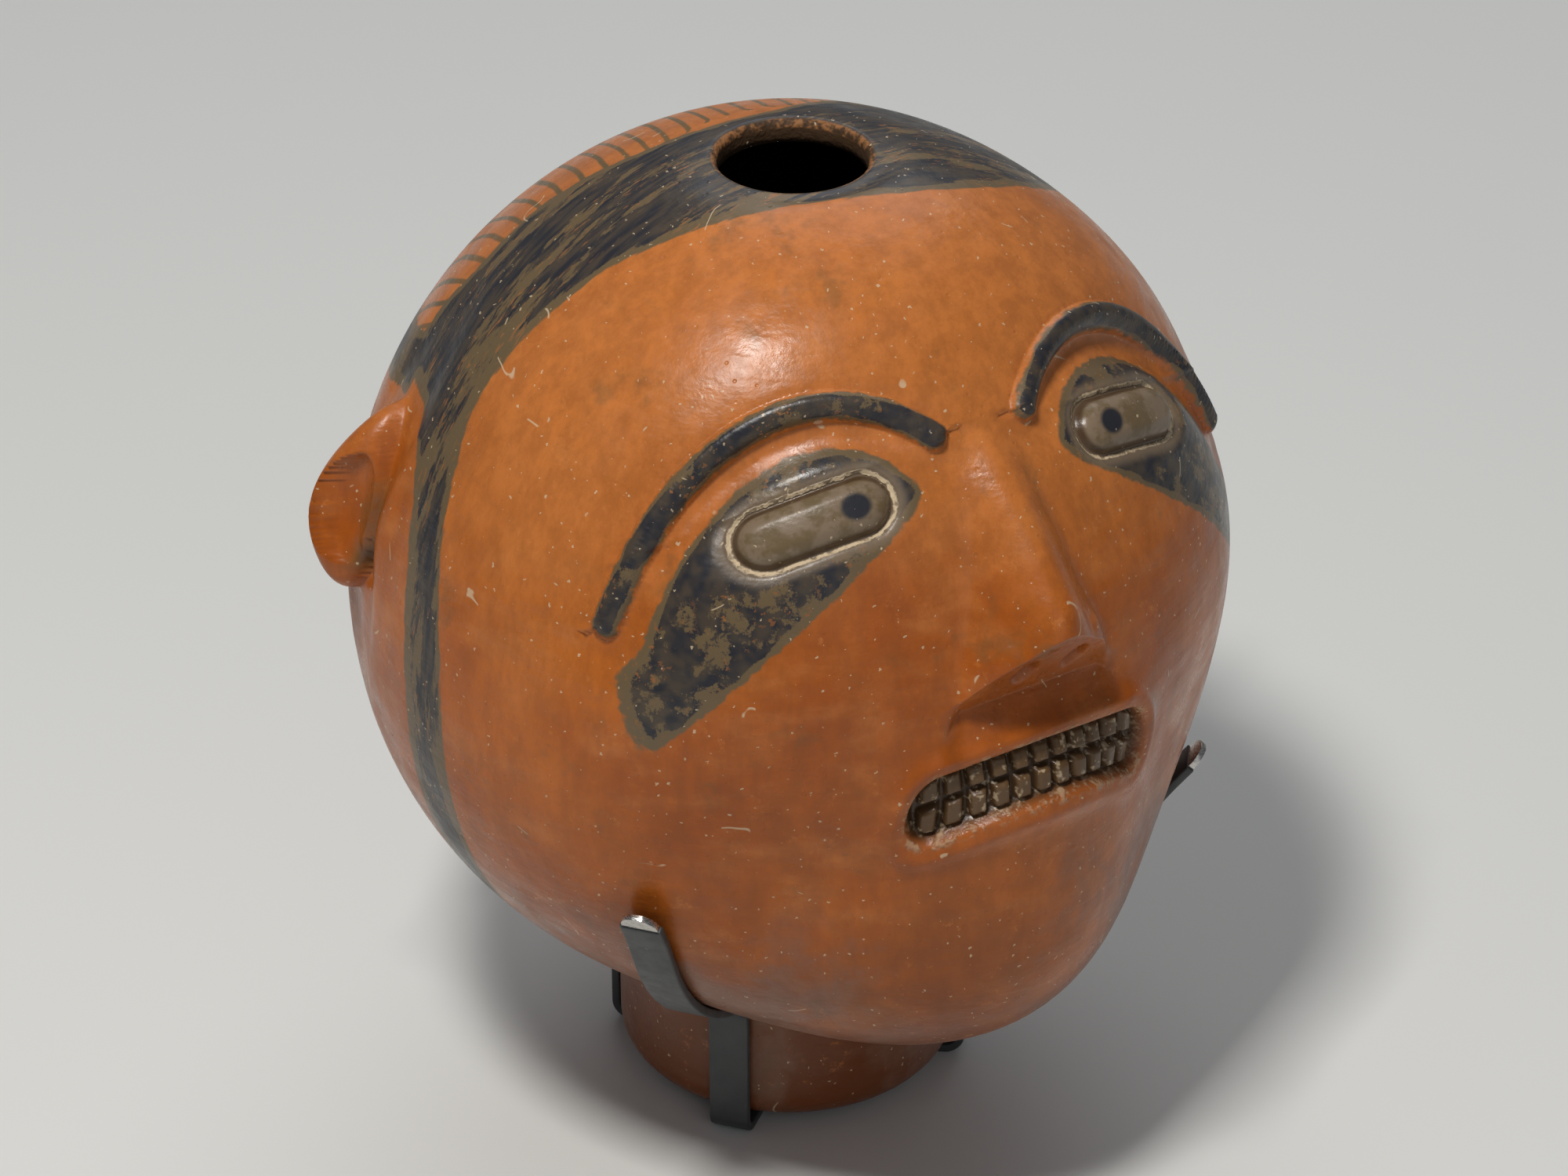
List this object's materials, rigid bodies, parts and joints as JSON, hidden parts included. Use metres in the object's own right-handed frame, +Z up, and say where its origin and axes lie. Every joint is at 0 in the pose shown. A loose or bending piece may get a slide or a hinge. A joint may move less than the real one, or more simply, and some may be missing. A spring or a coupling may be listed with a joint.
{
  "type": "face vessel",
  "caption": "Hollow burnished clay vessel shaped as an upturned head on a short neck, round mouth in the crown, standing in a bent-strap steel cradle.",
  "frame": {"origin": "underside of the cradle's foot, at the middle of its hub, on the surface that the object stands on", "axes": "+Z up along the neck's axis, -Y the way the face looks, +X to the head's left"},
  "size_m": [0.2128, 0.2159, 0.2486],
  "materials": {
    "burnished_clay": "burnished orange slip with black and brown paint",
    "coated_steel": "dark grey satin coating"
  },
  "bodies": {
    "root": {"vessel": "burnished_clay", "cradle": "coated_steel"}
  },
  "joints": []
}
